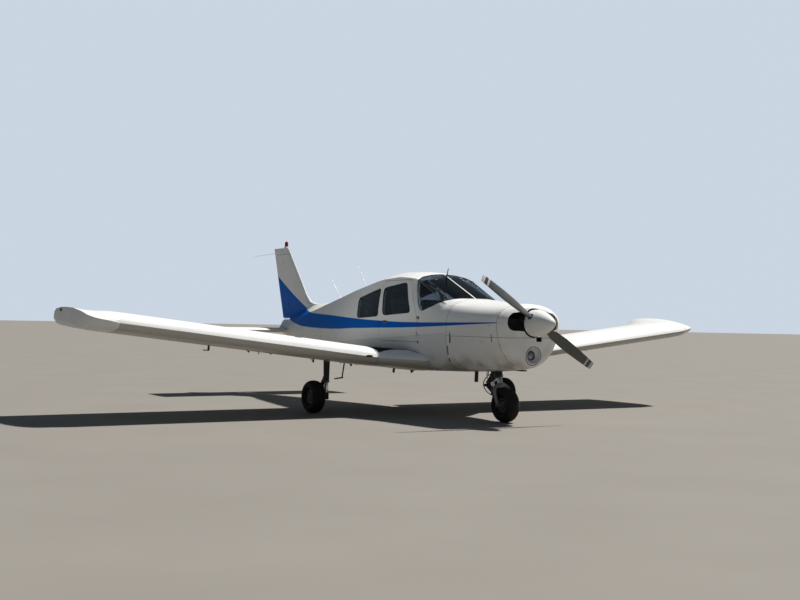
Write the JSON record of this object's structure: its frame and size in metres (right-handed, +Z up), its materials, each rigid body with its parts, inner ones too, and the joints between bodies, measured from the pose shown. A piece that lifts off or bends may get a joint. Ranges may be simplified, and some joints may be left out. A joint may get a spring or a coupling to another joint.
{
  "type": "light aircraft",
  "caption": "Low-wing single-engine light aircraft on a fixed tricycle gear, with a turning propeller, wheels, control surfaces, flaps and a hinged cabin door.",
  "frame": {"origin": "on the ground under the middle of the aircraft's bounding box", "axes": "+X to the aircraft's left, -Y toward the nose, +Z up"},
  "size_m": [9.1518, 7.0416, 2.3943],
  "materials": {
    "white_skin": "gloss white paint",
    "blade_metal": "satin dark grey paint",
    "leg_metal": "worn grey paint",
    "rim_metal": "dull white paint",
    "lamp_metal": "bright reflector behind clear glass",
    "exhaust_metal": "heat-stained steel",
    "engine": "matte",
    "tyre_rubber": "matte",
    "window": "clear",
    "dark_trim": "matte",
    "seat_cloth": "woven",
    "red_lens": "gloss"
  },
  "bodies": {
    "airframe": {"nose_bowl": "white_skin", "landing_light": "lamp_metal", "cowl_top": "white_skin", "cowl_lower": "white_skin", "engine_block": "engine", "exhaust_pipe": "exhaust_metal", "boarding_step": "leg_metal", "firewall": "dark_trim", "cabin_floor": "white_skin", "front_body": "white_skin", "side_panel_left": "white_skin", "side_panel_right": "white_skin", "cabin_roof": "white_skin", "bulkhead": "dark_trim", "tail_cone": "white_skin", "fin": "white_skin", "windscreen_left": "window", "windscreen_right": "window", "front_window_left": "window", "rear_window_left": "window", "rear_window_right": "window", "instrument_panel": "dark_trim", "yoke_left": "dark_trim", "yoke_right": "dark_trim", "front_seat_left": "seat_cloth", "front_seat_right": "seat_cloth", "rear_seat": "seat_cloth", "wing_left": "white_skin", "wing_right": "white_skin", "wing_tip_left": "white_skin", "wing_tip_right": "white_skin", "main_leg_left": "leg_metal", "main_leg_right": "leg_metal", "nose_housing": "leg_metal", "beacon": "red_lens"},
    "airscrew": {"propeller": "blade_metal", "spinner": "white_skin"},
    "door": {"cabin_door": "white_skin", "door_window": "window"},
    "nose_steer": {"nose_fork": "leg_metal"},
    "nose_wheel": {"nose_tyre": "tyre_rubber", "nose_rim": "rim_metal"},
    "main_wheel_left": {"main_tyre_left": "tyre_rubber", "main_rim_left": "rim_metal"},
    "main_wheel_right": {"main_tyre_right": "tyre_rubber", "main_rim_right": "rim_metal"},
    "flap_left": {"flap_left": "white_skin"},
    "flap_right": {"flap_right": "white_skin"},
    "aileron_left": {"aileron_left": "white_skin"},
    "aileron_right": {"aileron_right": "white_skin"},
    "rudder": {"rudder": "white_skin"},
    "stabilator": {"stabilator": "white_skin"},
    "tab": {"stabilator_tab": "white_skin"}
  },
  "joints": [
    {"name": "airscrew_turn", "type": "hinge", "parent": "airframe", "child": "airscrew", "pos_m": [0, -3.231, 1.18], "axis": [0, -1, 0], "continuous": true},
    {"name": "door_open", "type": "hinge", "parent": "airframe", "child": "door", "pos_m": [-0.5625, -1.5385, 1.1], "axis": [0, 0, 1], "range_deg": [0, 70]},
    {"name": "rudder_turn", "type": "hinge", "parent": "airframe", "child": "rudder", "pos_m": [0, 2.97692, 1.5], "axis": [0, 0.3112, 0.9503], "range_deg": [-27, 27]},
    {"name": "nose_steering", "type": "hinge", "parent": "airframe", "child": "nose_steer", "pos_m": [0, -2.634, 0.205], "axis": [0, 0.3746, 0.9272], "range_deg": [-30, 30]},
    {"name": "nose_wheel_spin", "type": "hinge", "parent": "nose_steer", "child": "nose_wheel", "pos_m": [0, -2.634, 0.205], "axis": [1, 0, 0], "continuous": true},
    {"name": "main_wheel_left_spin", "type": "hinge", "parent": "airframe", "child": "main_wheel_left", "pos_m": [1.5, -0.651, 0.205], "axis": [1, 0, 0], "continuous": true},
    {"name": "main_wheel_right_spin", "type": "hinge", "parent": "airframe", "child": "main_wheel_right", "pos_m": [-1.5, -0.651, 0.205], "axis": [1, 0, 0], "continuous": true},
    {"name": "flap_left_turn", "type": "hinge", "parent": "airframe", "child": "flap_left", "pos_m": [1.58255, -0.066, 0.75696], "axis": [0.9933, 0, 0.1158], "range_deg": [-40, 0]},
    {"name": "flap_right_turn", "type": "hinge", "parent": "airframe", "child": "flap_right", "pos_m": [-1.58255, -0.066, 0.75696], "axis": [0.9933, 0, -0.1158], "range_deg": [-40, 0]},
    {"name": "aileron_left_turn", "type": "hinge", "parent": "airframe", "child": "aileron_left", "pos_m": [3.39825, -0.066, 0.96864], "axis": [0.9933, 0, 0.1158], "range_deg": [-15, 30]},
    {"name": "aileron_right_turn", "type": "hinge", "parent": "airframe", "child": "aileron_right", "pos_m": [-3.39825, -0.066, 0.96864], "axis": [0.9933, 0, -0.1158], "range_deg": [-15, 30]},
    {"name": "stabilator_turn", "type": "hinge", "parent": "airframe", "child": "stabilator", "pos_m": [0, 2.809, 0.99], "axis": [1, 0, 0], "range_deg": [-2, 16]},
    {"name": "tab_turn", "type": "hinge", "parent": "stabilator", "child": "tab", "pos_m": [0, 3.269, 0.99], "axis": [1, 0, 0], "range_deg": [-1.5, 12]}
  ],
  "couplings": [
    {"joint": "flap_left_turn", "follows": "flap_right_turn", "ratio": 1},
    {"joint": "nose_steering", "follows": "rudder_turn", "ratio": -1.1111},
    {"joint": "tab_turn", "follows": "stabilator_turn", "ratio": 0.75}
  ]
}
